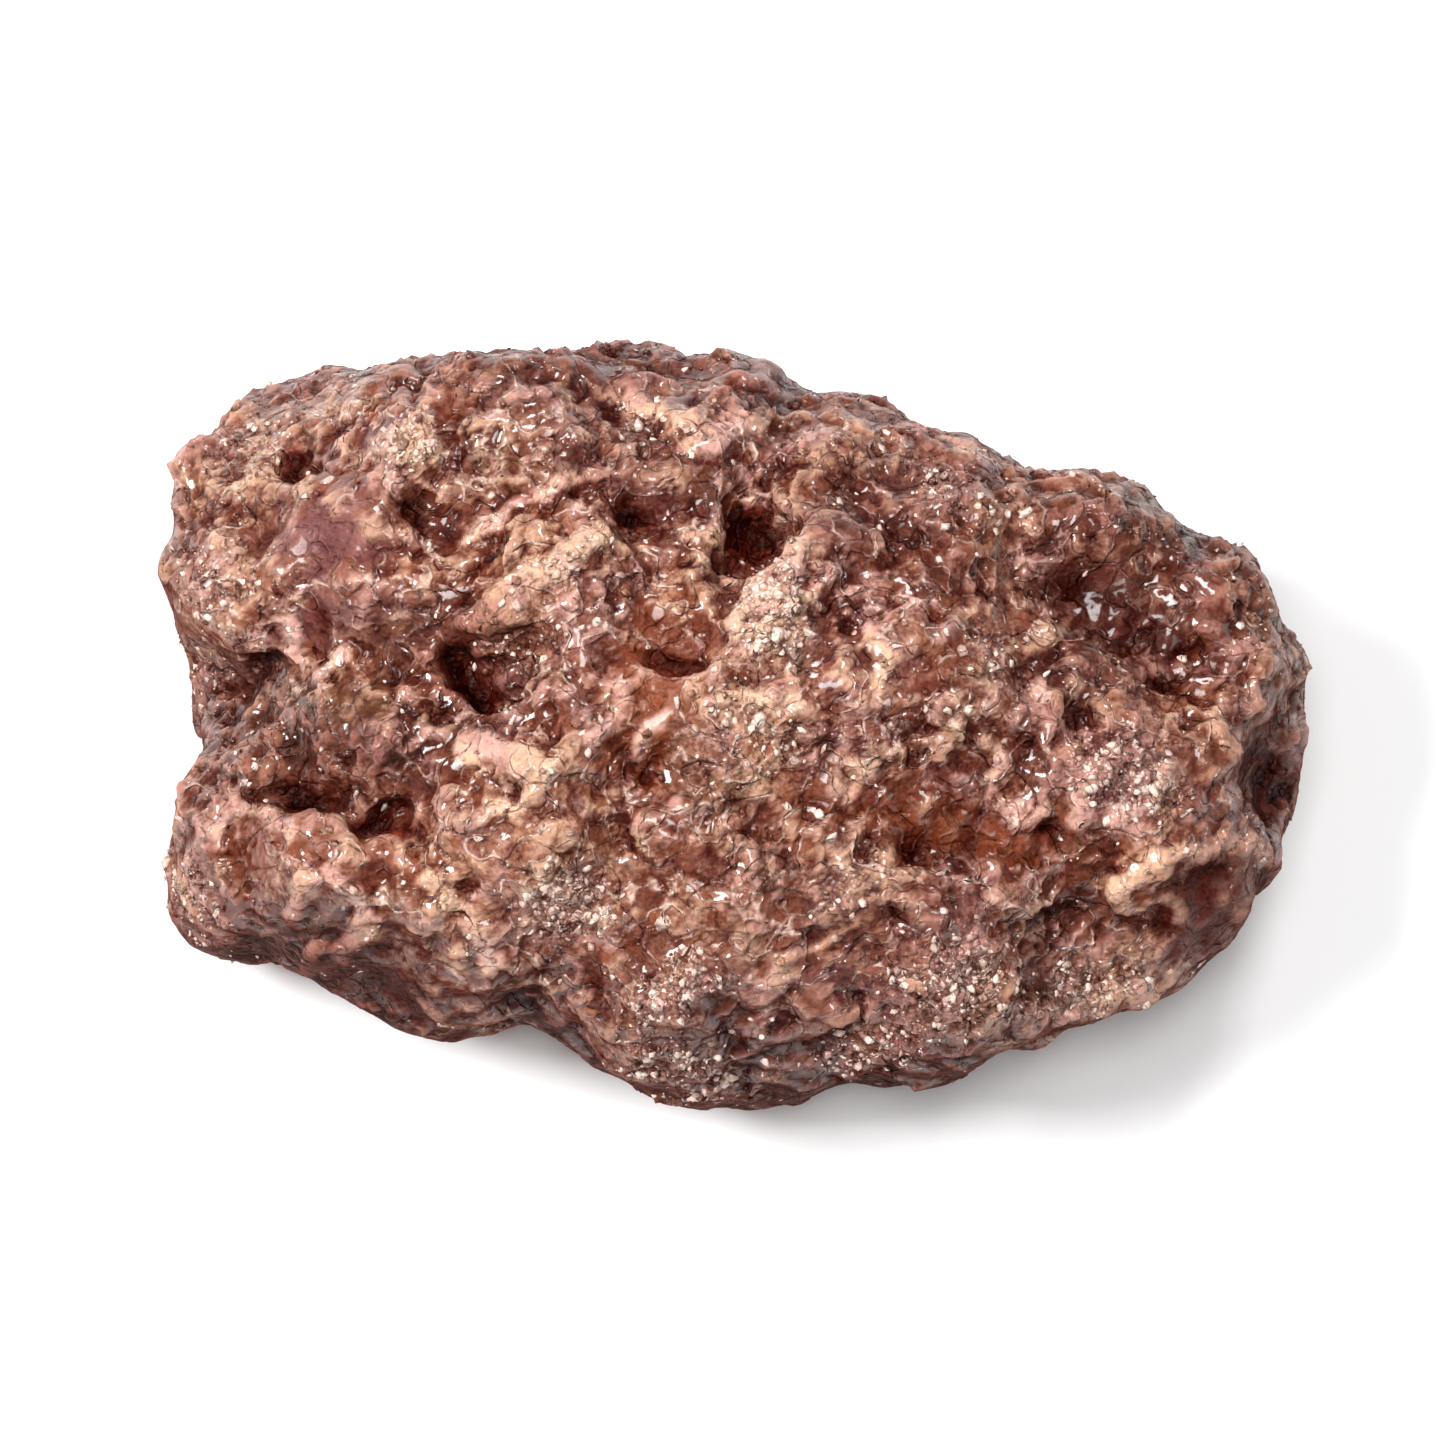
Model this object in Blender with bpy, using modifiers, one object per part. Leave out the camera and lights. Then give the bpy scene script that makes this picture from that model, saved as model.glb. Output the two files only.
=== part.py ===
"""A candied pecan half: one nut under a thick cracked sugar crust, lying on its flat side.

+Z is up, +X runs along the nut to its rounded tip and -X is the cleft end. The origin is the
middle of its bounding box, on the surface that the nut lies on. Sizes are in millimetres
until the finished mesh is scaled to metres.
"""

import math
import random

import bmesh
import bpy
from mathutils import Vector, noise

MM = 0.001

# Driving sizes, in millimetres
LENGTH = 36.0
WIDTH = 23.4
THICKNESS = 15.2

# The smooth form under the relief. The two heights are measured from the widest level.
HALF_LENGTH = 0.484 * LENGTH
HALF_WIDTH = 0.474 * WIDTH
CROWN_HEIGHT = 0.55 * THICKNESS
BELLY_DEPTH = 0.42 * THICKNESS
TIP_ROUNDNESS = 2.05
CLEFT_END_ROUNDNESS = 2.8
SHOULDER_FULLNESS = 0.12
BELLY_FLATNESS = 1.5
TIP_DROP = 0.12
END_DROP = 0.14
LOBE_LEAN = 0.22
LOBE_FADE = 0.75
SWELL_SIZE = 8.0
SWELL_HEIGHT = 1.1
LEAST_LEVEL = 1e-9

# How far a face leans before the relief of the upper or the flat side is all there
FULL_RELIEF_LEAN = 0.5

# Squares of the first grid along the length, width and thickness, and the side of the even
# squares that follow it, with how far these are softened before and after the clods
GRID_CELLS = (60, 40, 28)
EVEN_SQUARE = 0.78
GRID_SOFTENING = 0.5
CLOD_SOFTENING = 0.25

# How much of the lowest crust is flattened where the nut lies
FOOT_FLATTENING = 0.8

# Bumps and nicks round the outline: direction in degrees, height, half-width in degrees
OUTLINE_LOBES = (
    (153, 2.0, 12),
    (161, 0.4, 4),
    (128, -1.0, 4),
    (113, 0.0, 9),
    (84, -0.8, 7),
    (68, -0.8, 6),
    (56, -0.9, 6),
    (39, 1.0, 6),
    (24, 1.5, 11),
    (0, 0.8, 9),
    (-14, 0.5, 6),
    (-33, 0.5, 7),
    (-47, 0.2, 4),
    (-65, -0.5, 7),
    (-88, 1.3, 11),
    (-111, -1.3, 6),
    (-138, 0.8, 5),
    (-157, 1.8, 6),
    (-172, -1.3, 7),
    (179, 1.1, 4),
)

# Rounded lumps of the upper side: x, y, radius, height
CROWN_LUMPS = (
    (-13.0, 4.6, 5.0, 1.2),
    (-13.3, -6.9, 3.4, 1.2),
    (-16.4, 1.0, 1.9, 0.7),
    (-16.6, 5.7, 1.8, 0.6),
    (-13.0, -2.4, 1.5, 0.7),
    (-10.2, -2.5, 1.6, 0.9),
    (-10.4, 6.3, 1.4, 0.7),
    (-8.7, 6.8, 1.6, 0.5),
    (-6.7, 9.4, 2.2, 0.7),
    (-6.2, 2.6, 2.8, 0.6),
    (-6.4, -5.4, 2.6, 0.8),
    (-0.5, -9.0, 2.4, 0.8),
    (-0.5, -10.8, 2.0, 0.5),
    (1.4, 2.8, 2.6, 0.8),
    (1.6, -1.2, 2.2, 0.5),
    (4.2, -5.6, 2.2, 0.5),
    (7.9, 1.8, 2.4, 0.5),
    (6.8, 7.2, 2.2, 0.6),
    (8.1, -7.6, 2.4, 0.7),
    (9.4, -9.2, 1.8, 0.6),
    (10.6, 8.0, 2.2, 0.5),
    (12.8, -0.9, 2.4, 0.8),
    (15.4, -4.4, 2.4, 0.9),
    (15.8, 5.0, 2.2, 0.5),
)

# Hollows of the upper side: x, y, radius, depth
CROWN_PITS = (
    (-14.0, 5.9, 1.0, 0.9),
    (-10.1, 4.3, 1.1, 0.9),
    (-7.4, -1.0, 1.3, 0.8),
    (-9.5, -5.2, 1.3, 0.6),
    (-3.5, 5.0, 1.0, 0.7),
    (-1.6, 0.6, 1.1, 0.7),
    (0.4, 5.7, 1.3, 1.1),
    (0.0, 4.5, 1.2, 0.9),
    (6.3, -3.9, 1.1, 0.6),
    (11.2, 4.7, 2.2, 0.9),
    (13.3, 3.0, 1.1, 0.6),
    (17.2, -0.1, 1.2, 0.8),
)

# Furrows: start x, start y, end x, end y, half-width, depth at the start, depth at the end
CROWN_FURROWS = (
    (-18.0, -2.2, -8.5, -3.0, 2.9, 1.7, 0.9),
    (-16.0, -0.2, -7.6, -0.9, 1.2, 1.7, 1.9),
    (-16.0, -4.2, -9.6, -5.2, 1.2, 1.7, 1.9),
    (-3.0, 4.6, -1.2, -7.0, 1.9, 0.8, 0.6),
    (-13.0, -9.4, -8.4, -9.6, 1.3, 0.8, 0.8),
    (2.5, -3.2, 11.5, -3.2, 1.8, 0.5, 0.6),
    (9.0, 5.4, 15.0, 2.2, 1.7, 0.5, 0.6),
    (11.4, -6.4, 12.6, -3.4, 1.0, 0.5, 0.5),
)

# Narrow ridges where a flake or a fold of crust stands up, in the same terms
CROWN_RIDGES = (
    (-7.4, 1.5, -4.4, 3.8, 0.9, 0.5, 0.7),
    (12.8, -3.8, 15.1, -1.9, 0.8, 0.5, 0.7),
    (15.1, -1.9, 17.2, -1.6, 0.8, 0.7, 0.5),
)

# The flat side has the nut's own seam down its middle, between two long ridges
BELLY_FURROWS = (
    (-17.0, -2.2, -9.0, -1.4, 2.4, 1.3, 2.0),
    (-9.0, -1.4, 15.5, -0.6, 2.1, 2.0, 1.0),
    (-6.0, -8.5, 5.0, -7.4, 1.2, 0.7, 0.5),
    (-3.0, 7.6, 8.0, 6.6, 1.2, 0.5, 0.7),
)

# Lumps of crust scattered over the whole nut, in no order
LUMP_COUNT = 170
LUMP_RADII = (1.3, 2.7)
LUMP_HEIGHTS = (0.35, 1.0)
LUMP_SEED = 11

# The share of their height that the scattered lumps lose on the upper side, which has its own
LUMP_LOSS_ON_TOP = 0.6

# The cracked crust over everything: sizes of its clods and how far they stand out
CLOD_SIZES = (3.2, 1.9)
CLOD_HEIGHTS = (1.1, 0.9)
CLOD_REACH = 0.9
CLOD_WARP = 0.9
CLOD_WARP_SHIFTS = (0.0, 17.3, 41.7)
CLOD_MIDDLE = 0.5
CLOD_MEAN_SHARE = 0.75
CLOD_UNEVENNESS = 0.5
CLOD_UNEVEN_SPAN = 2.0
GRIT_SIZE = 1.2
GRIT_HEIGHT = 0.25

CRUST_COLOUR = (0.325, 0.164, 0.128, 1.0)
CRUST_ROUGHNESS = 0.6


def clear_scene():
    for obj in list(bpy.data.objects):
        bpy.data.objects.remove(obj, do_unlink=True)


def crust_material():
    material = bpy.data.materials.new("sugar_crust")
    material.use_nodes = True
    shader = material.node_tree.nodes["Principled BSDF"]
    shader.inputs["Base Color"].default_value = CRUST_COLOUR
    shader.inputs["Roughness"].default_value = CRUST_ROUGHNESS
    shader.inputs["Metallic"].default_value = 0.0
    return material


def smooth_step(value, low, high):
    share = min(1.0, max(0.0, (value - low) / (high - low)))
    return share * share * (3.0 - 2.0 * share)


def plain_reach(angle):
    """How far the outline without its lobes, seen from above, lies from the middle in this direction."""
    toward_cleft = (1.0 - math.cos(angle)) / 2.0
    power = TIP_ROUNDNESS + (CLEFT_END_ROUNDNESS - TIP_ROUNDNESS) * toward_cleft
    along = abs(math.cos(angle) / HALF_LENGTH) ** power
    across = abs(math.sin(angle) / HALF_WIDTH) ** power
    return (along + across) ** (-1.0 / power)


def lobe_reach(angle):
    reach = 0.0
    for direction, height, spread in OUTLINE_LOBES:
        apart = (math.degrees(angle) - direction + 180.0) % 360.0 - 180.0
        reach += height * math.exp(-((apart / spread) ** 2) / 2.0)
    return reach


def smooth_form(way):
    """The point of the smooth nut, before its relief, that a unit vector from its middle points at."""
    level = math.hypot(way.x, way.y)
    angle = math.atan2(way.y, way.x)
    share = level * (1.0 + SHOULDER_FULLNESS * (1.0 - level * level))
    lobes = lobe_reach(angle + LOBE_LEAN * way.z) * (1.0 - LOBE_FADE * way.z * way.z)
    reach = (plain_reach(angle) + lobes) * share
    x = reach * way.x / max(level, LEAST_LEVEL)
    y = reach * way.y / max(level, LEAST_LEVEL)
    if way.z > 0.0:
        along = x / HALF_LENGTH
        z = CROWN_HEIGHT * way.z * (1.0 - TIP_DROP * along - END_DROP * along * along)
    else:
        z = -BELLY_DEPTH * (1.0 - (1.0 + way.z) ** BELLY_FLATNESS)
    return Vector((x, y, z))


def mound(distance, radius):
    """A rounded bump of height 1 that fades out at about twice the radius."""
    return math.exp(-((distance / radius) ** 2))


def depth_at(x, y, furrow):
    x0, y0, x1, y1, half_width, depth_0, depth_1 = furrow
    run = Vector((x1 - x0, y1 - y0))
    offset = Vector((x - x0, y - y0))
    share = min(1.0, max(0.0, offset.dot(run) / run.length_squared))
    distance = (offset - run * share).length
    return mound(distance, half_width) * (depth_0 + (depth_1 - depth_0) * share)


def deepest(point, furrows):
    """The furrow that cuts most here, or the ridge that stands most, so that those that meet don't add up."""
    return max(depth_at(point.x, point.y, furrow) for furrow in furrows)


def crown_relief(point):
    height = 0.0
    for x, y, radius, rise in CROWN_LUMPS:
        height += rise * mound(math.hypot(point.x - x, point.y - y), radius)
    for x, y, radius, depth in CROWN_PITS:
        height -= depth * mound(math.hypot(point.x - x, point.y - y), radius)
    return height + deepest(point, CROWN_RIDGES) - deepest(point, CROWN_FURROWS)


def belly_relief(point):
    return -deepest(point, BELLY_FURROWS)


def scattered_lumps():
    """Places, radii and heights of the loose order of lumps that the crust sets in."""
    draw = random.Random(LUMP_SEED)
    lumps = []
    for _ in range(LUMP_COUNT):
        way = Vector([draw.gauss(0.0, 1.0) for _ in range(3)]).normalized()
        lumps.append((smooth_form(way), draw.uniform(*LUMP_RADII), draw.uniform(*LUMP_HEIGHTS)))
    return lumps


def lump_relief(point, lumps):
    """The highest lump at this point, so that lumps meet in creases."""
    return max(rise * mound((point - centre).length, radius) for centre, radius, rise in lumps)


def drift(place):
    """A smooth uneven push along each axis, from about -1 to 1."""
    return Vector([noise.noise(place + Vector((shift, -shift, shift))) for shift in CLOD_WARP_SHIFTS])


def crust_relief(point):
    """Clods of crystallised sugar with cracks between them, and grit over the clods."""
    warped = point + drift(point / CLOD_SIZES[0]) * CLOD_WARP
    height = GRIT_HEIGHT * noise.noise(point / GRIT_SIZE)
    for size, rise in zip(CLOD_SIZES, CLOD_HEIGHTS):
        nearest = noise.voronoi(warped / size)[0][0]
        uneven = CLOD_MEAN_SHARE + CLOD_UNEVENNESS * noise.noise(point / (CLOD_UNEVEN_SPAN * size))
        height += rise * uneven * (CLOD_MIDDLE - (nearest / CLOD_REACH) ** 2)
    return height


def block_grid(mesh):
    """A cube of side 2 with each face cut into the same size of square as the nut needs."""
    bmesh.ops.create_cube(mesh, size=2.0)
    for axis, count in enumerate(GRID_CELLS):
        edges = [e for e in mesh.edges if abs((e.verts[0].co - e.verts[1].co)[axis]) > 1.0]
        bmesh.ops.subdivide_edges(mesh, edges=edges, cuts=count - 1, use_grid_fill=True)


def way_through(corner):
    """The unit vector that a point of the cube's surface stands for, evenly spread."""
    a, b, c = (value * value for value in corner)
    return Vector((
        corner.x * math.sqrt(1.0 - b / 2.0 - c / 2.0 + b * c / 3.0),
        corner.y * math.sqrt(1.0 - c / 2.0 - a / 2.0 + c * a / 3.0),
        corner.z * math.sqrt(1.0 - a / 2.0 - b / 2.0 + a * b / 3.0),
    ))


def raise_along_normals(mesh, heights):
    mesh.normal_update()
    shifts = [vert.normal * heights[vert.index] for vert in mesh.verts]
    for vert, shift in zip(mesh.verts, shifts):
        vert.co += shift


def soften(mesh, share):
    """Moves each point this share of the way to the middle of its neighbours."""
    bmesh.ops.smooth_vert(
        mesh, verts=mesh.verts, factor=share, use_axis_x=True, use_axis_y=True, use_axis_z=True
    )


def lay_on_its_foot(mesh):
    """Flattens the lowest crust, as it sets on a tray, and puts that level at zero under the middle."""
    floor = min(vert.co.z for vert in mesh.verts) + FOOT_FLATTENING
    for vert in mesh.verts:
        vert.co.z = max(vert.co.z, floor)
    low = Vector(min(vert.co[axis] for vert in mesh.verts) for axis in range(3))
    high = Vector(max(vert.co[axis] for vert in mesh.verts) for axis in range(3))
    centre = (low + high) / 2.0
    sizes = (LENGTH, WIDTH, THICKNESS)
    for vert in mesh.verts:
        vert.co.x = (vert.co.x - centre.x) * sizes[0] / (high.x - low.x)
        vert.co.y = (vert.co.y - centre.y) * sizes[1] / (high.y - low.y)
        vert.co.z = (vert.co.z - low.z) * sizes[2] / (high.z - low.z)


def shaped_form():
    """The nut's own form with its furrows, hollows and larger lumps, on a stretched grid."""
    mesh = bmesh.new()
    block_grid(mesh)
    mesh.verts.index_update()
    for vert in mesh.verts:
        vert.co = smooth_form(way_through(vert.co))
    lumps = scattered_lumps()
    mesh.normal_update()
    heights = []
    for vert in mesh.verts:
        upper = smooth_step(vert.normal.z, 0.0, FULL_RELIEF_LEAN)
        under = smooth_step(-vert.normal.z, 0.0, FULL_RELIEF_LEAN)
        swell = SWELL_HEIGHT * noise.noise(vert.co / SWELL_SIZE)
        shaped = upper * crown_relief(vert.co) + under * belly_relief(vert.co)
        scattered = (1.0 - LUMP_LOSS_ON_TOP * upper) * lump_relief(vert.co, lumps)
        heights.append(swell + shaped + scattered)
    raise_along_normals(mesh, heights)
    data = bpy.data.meshes.new("shaped_form")
    mesh.to_mesh(data)
    mesh.free()
    return data


def evened(data):
    """The same surface in squares of one size."""
    stretched = bpy.data.objects.new("stretched", data)
    bpy.context.scene.collection.objects.link(stretched)
    remesh = stretched.modifiers.new("even", "REMESH")
    remesh.mode = "VOXEL"
    remesh.voxel_size = EVEN_SQUARE
    graph = bpy.context.evaluated_depsgraph_get()
    even = bpy.data.meshes.new_from_object(stretched.evaluated_get(graph))
    bpy.data.objects.remove(stretched)
    bpy.data.meshes.remove(data)
    return even


def candied_pecan(collection, material):
    data = evened(shaped_form())
    data.name = "candied_pecan"
    mesh = bmesh.new()
    mesh.from_mesh(data)
    mesh.verts.index_update()
    soften(mesh, GRID_SOFTENING)
    raise_along_normals(mesh, [crust_relief(vert.co) for vert in mesh.verts])
    soften(mesh, CLOD_SOFTENING)
    lay_on_its_foot(mesh)
    bmesh.ops.scale(mesh, vec=(MM, MM, MM), verts=mesh.verts)
    bmesh.ops.triangulate(mesh, faces=mesh.faces, quad_method="SHORT_EDGE")
    mesh.to_mesh(data)
    mesh.free()
    data.shade_smooth()
    data.materials.append(material)
    nut = bpy.data.objects.new("candied_pecan", data)
    collection.objects.link(nut)
    return nut


def main():
    clear_scene()
    collection = bpy.data.collections.new("candied_pecan")
    bpy.context.scene.collection.children.link(collection)
    candied_pecan(collection, crust_material())


main()
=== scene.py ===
import math
from collections import namedtuple

import bmesh
import bpy
import numpy as np
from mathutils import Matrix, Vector, noise


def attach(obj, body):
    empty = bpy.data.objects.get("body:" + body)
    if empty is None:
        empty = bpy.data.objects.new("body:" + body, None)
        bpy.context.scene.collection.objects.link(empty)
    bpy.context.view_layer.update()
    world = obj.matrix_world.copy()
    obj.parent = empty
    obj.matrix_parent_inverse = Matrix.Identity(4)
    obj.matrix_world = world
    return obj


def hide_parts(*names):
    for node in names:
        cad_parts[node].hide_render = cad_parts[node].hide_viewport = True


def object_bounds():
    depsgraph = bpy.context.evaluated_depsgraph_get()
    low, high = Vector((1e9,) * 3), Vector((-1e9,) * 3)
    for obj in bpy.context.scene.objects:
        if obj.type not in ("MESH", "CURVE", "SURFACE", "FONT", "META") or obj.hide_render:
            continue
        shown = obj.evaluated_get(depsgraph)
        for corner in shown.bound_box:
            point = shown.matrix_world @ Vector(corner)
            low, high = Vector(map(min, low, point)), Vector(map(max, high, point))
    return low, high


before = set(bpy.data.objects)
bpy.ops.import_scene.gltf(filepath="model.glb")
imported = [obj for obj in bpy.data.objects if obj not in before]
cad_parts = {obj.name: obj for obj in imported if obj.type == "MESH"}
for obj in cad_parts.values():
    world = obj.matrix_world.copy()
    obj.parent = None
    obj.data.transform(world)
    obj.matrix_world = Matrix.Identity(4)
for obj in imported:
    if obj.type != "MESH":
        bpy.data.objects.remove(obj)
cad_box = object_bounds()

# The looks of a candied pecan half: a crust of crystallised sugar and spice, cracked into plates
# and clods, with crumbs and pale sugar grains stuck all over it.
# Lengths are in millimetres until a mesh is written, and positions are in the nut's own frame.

MM = 0.001
NODE = "candied_pecan"
BODY = "root"

# Sides of the squares that the crust is remeshed in, before its crags and before its grit, and
# the rounds of smoothing that follow
CRAG_SQUARE = 0.3
CRAG_SOFTENING = 2
GRIT_SQUARE = 0.186
GRIT_SOFTENING = 1

# Plates of crust, big ones first: size, step between levels, tilt, crack width as a share, crack depth
CRAG_PLATES = ((2.6, 0.3, 0.42, 0.08, 0.14), (1.3, 0.17, 0.26, 0.08, 0.09))
GRIT_PLATES = ((0.9, 0.1, 0.3, 0.1, 0.1),)

# Thin folds of crust: spacing, height and sharpness
CRAG_FOLD = (2.2, 0.2, 4.5)
GRIT_FOLDS = ((1.1, 0.16, 4.5), (0.62, 0.08, 3.5))

# How the patterns are pushed about: sizes and reaches
WARP_SIZE = 1.4
WARP_REACH = 0.6
GRIT_WARP_SIZE = 0.5
GRIT_WARP_REACH = 0.2
DRIFT_SHIFTS = (0.0, 17.3, 41.7)
RAGGED_SIZE = 0.9
RAGGED_REACH = 0.45

# The finest unevenness of the shape
DUST_SIZE = 0.26
DUST_HEIGHT = 0.02

# Where the random level, tilt and tone of a plate are drawn from
LEVEL_SPREAD = 7.7
TILT_SPREAD = 5.3

# Plate sizes, and the share that each has in how light the crust is
PLATE_TONES = ((2.6, 0.6), (1.3, 0.7), (0.75, 0.3))

# Crumbly places, and the share of the grit that the glazed places between them have
CRUMBLY_SIZE = 2.3
CRUMBLY_SHIFT = 61.0
CRUMBLY_RANGE = (-0.25, 0.3)
GLAZED_GRIT = 0.5

# The share of the crags and of the grit that the smooth patches lose
SMOOTH_CRAGS_LOST = 0.6
SMOOTH_GRIT_LOST = 0.8

# Heights between which the painted shade of the crust's low parts fades into its own colour
LOW_HEIGHTS = (4.0, 11.5)

# Heights between which crags, grit and stuck pieces set in above the place that the nut lies on
CRAG_LYING = (0.0, 0.5)
GRIT_LYING = (0.0, 0.3)
STUCK_LYING = (0.3, 0.9)

# Upward parts of the normal between which each side of the nut begins
TOP_FACING = (0.0, 0.35)
PAINTED_FACING = (-0.1, 0.3)
OUTER_FACING = (-0.6, -0.1)
STEEP_FACING = (0.1, 0.55)
STUCK_FACING = (-0.1, 0.6)
UNDER_FACING = (0.2, 0.7)

# The share of the crags and of the grit that the steep sides have
SIDE_CRAGS = 0.4
SIDE_GRIT = 0.25

# The share of the painted shade of the steep sides and low parts that the underside is spared
UNDER_SPARED = 0.6

# Named patches of the upper side: x, y, half-length, half-width, turn in degrees, strength
SMOOTH_PATCHES = (
    (-6.2, 2.3, 1.8, 0.75, 37, 1.0),
    (-12.5, 3.3, 2.0, 1.4, 10, 1.0),
    (15.4, -4.0, 2.2, 1.5, 35, 1.0),
    (-12.4, 0.8, 1.2, 0.8, 20, 0.7),
    (-9.4, -9.3, 3.0, 1.2, -10, 0.8),
    (16.8, 0.9, 1.1, 1.7, 0, 0.9),
    (11.2, 4.7, 2.0, 1.5, -20, 0.7),
    (-13.9, -6.0, 1.6, 1.4, 0, 0.6),
    (-2.0, -0.1, 1.0, 2.6, 5, 0.7),
    (7.6, -3.2, 2.6, 0.9, -3, 0.9),
    (-6.7, -2.8, 1.4, 0.6, -10, 0.9),
    (5.7, 1.5, 1.8, 1.4, 0, 0.5),
)
PALE_PATCHES = (
    (-10.4, 6.1, 0.9, 0.8, 0, 1.0),
    (-5.9, 2.5, 2.1, 0.7, 37, 1.0),
    (-5.9, 0.6, 1.9, 1.4, 0, 0.55),
    (-0.5, -9.2, 1.9, 1.0, 35, 1.0),
    (-3.9, -7.0, 1.7, 1.2, 20, 0.9),
    (8.1, -7.6, 2.4, 1.6, 10, 0.9),
    (12.3, -6.8, 2.4, 1.1, 20, 0.7),
    (12.4, -0.9, 2.2, 1.5, -15, 0.8),
    (1.1, 2.6, 1.3, 2.4, 15, 0.8),
    (0.9, -1.4, 1.9, 1.7, 0, 0.6),
    (0.2, -11.0, 2.6, 1.0, 0, 0.8),
    (5.8, -9.6, 2.4, 0.8, 10, 0.8),
    (-15.6, -7.4, 1.8, 1.0, -50, 0.8),
    (4.4, -5.4, 1.4, 0.9, 40, 0.6),
    (7.9, 2.3, 0.9, 1.2, 0, 0.6),
    (6.0, 7.4, 2.6, 0.9, -30, 0.6),
    (-15.8, 1.9, 0.7, 1.4, 20, 0.7),
    (-15.6, 6.6, 1.6, 1.6, 0, 0.5),
    (-16.4, -0.2, 1.5, 1.4, 0, 0.7),
)
AMBER_PATCHES = (
    (-2.0, -0.1, 1.2, 2.9, 5, 1.0),
    (7.6, -3.2, 3.0, 1.1, -3, 1.0),
    (-17.0, -1.6, 1.4, 1.6, 0, 0.9),
    (-6.0, 0.4, 2.4, 1.8, 30, 0.6),
    (1.4, -2.6, 1.6, 1.2, 0, 0.6),
    (-13.0, -6.5, 2.6, 1.6, 0, 0.4),
    (-14.5, 8.0, 2.2, 1.4, 40, 0.5),
    (5.2, 3.6, 1.5, 1.2, 0, 0.5),
)
MAUVE_PATCHES = (
    (-12.5, 3.3, 2.1, 1.5, 10, 1.0),
    (1.0, 3.6, 1.2, 1.9, 15, 0.9),
    (4.4, -5.4, 1.3, 0.9, 40, 0.9),
    (4.0, -8.4, 2.4, 1.4, 0, 0.6),
    (12.6, -0.6, 2.0, 1.3, 0, 0.6),
    (-4.5, 8.2, 2.4, 1.2, 20, 0.5),
)
OLIVE_PATCHES = (
    (-11.5, -2.2, 2.7, 1.3, -8, 1.0),
    (-10.1, 4.4, 0.8, 0.7, 0, 0.8),
    (11.9, 8.4, 2.8, 0.9, -35, 0.9),
    (16.4, 5.2, 1.2, 2.2, 20, 0.9),
    (0.4, -2.8, 1.5, 1.1, 0, 0.5),
    (12.3, -6.8, 2.4, 1.1, 20, 0.5),
)
RED_PATCHES = (
    (-8.7, 6.4, 1.4, 1.3, 0, 0.9),
    (-12.4, 0.8, 1.5, 0.9, 20, 0.8),
    (-6.7, -2.8, 1.5, 0.7, -10, 1.0),
    (5.7, 1.5, 2.4, 1.9, 0, 0.7),
    # Painted shade: this patch paints the dark red of the valley under the lower-left lobe
    (-9.4, -9.3, 3.4, 1.4, -10, 1.0),
    (9.4, -9.0, 1.6, 1.1, 20, 0.9),
    (15.4, -4.0, 2.4, 1.7, 35, 1.0),
    # Painted shade: this patch paints the dark red of the sunken valley at the upper right
    (11.0, 4.4, 3.0, 2.2, -20, 0.9),
    (17.0, 0.4, 1.2, 1.8, 0, 1.0),
    (-3.2, 5.2, 1.6, 1.3, 0, 0.6),
    (2.8, 5.6, 1.6, 1.4, 0, 0.8),
)
# Patches of painted shade: the crust darkened in its broad hollows and along its upper and lower rims,
# where less light falls
PAINTED_SHADE_PATCHES = (
    (-12.2, -3.2, 3.4, 2.0, -5, 0.9),
    (12.5, 6.0, 5.5, 4.5, -30, 0.7),
    (5.6, 6.8, 3.8, 2.3, 0, 0.62),
    (7.0, -10.6, 5.5, 1.9, 5, 0.95),
    (-4.0, -10.8, 2.6, 1.8, 0, 0.75),
    (-8.0, 0.0, 2.3, 2.0, 0, 0.9),
    (16.8, -1.0, 3.0, 5.5, 0, 0.5),
    (11.5, 0.3, 3.0, 2.0, 0, 0.55),
    (-11.5, -9.3, 4.5, 1.7, -15, 0.9),
    (-16.0, -7.0, 2.0, 2.0, 0, 0.15),
    (3.5, -10.5, 9.0, 2.4, 0, 0.7),
    (6.8, -7.3, 4.5, 2.4, 0, 0.55),
    (3.5, 11.0, 5.5, 1.8, -10, 0.8),
    (8.5, 8.5, 3.5, 2.0, -30, 0.5),
    (6.5, -3.0, 3.5, 2.0, 0, 0.3),
    (-6.0, 10.4, 6.5, 1.8, 5, 0.85),
    (-12.0, 10.2, 3.0, 1.6, 20, 0.5),
    (0.5, 10.4, 3.5, 1.7, 0, 0.6),
    (-4.0, 6.5, 2.6, 1.7, 0, 0.5),
    (8.0, -10.6, 4.0, 1.6, 8, 1.0),
)

# Zones: patches, then the shift, size and rareness of a loose pattern of the same kind
ZONES = {
    "smooth": (SMOOTH_PATCHES, 3.0, 2.6, 0.22),
    "pale": (PALE_PATCHES, 11.0, 2.2, 0.12),
    "amber": (AMBER_PATCHES, 17.0, 3.0, 0.18),
    "mauve": (MAUVE_PATCHES, 23.0, 2.8, 0.2),
    "olive": (OLIVE_PATCHES, 31.0, 3.0, 0.2),
    "red": (RED_PATCHES, 41.0, 3.0, 0.1),
}
LOOSE_EDGE = 0.25
LOOSE_LOST_ON_TOP = 0.75

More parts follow.
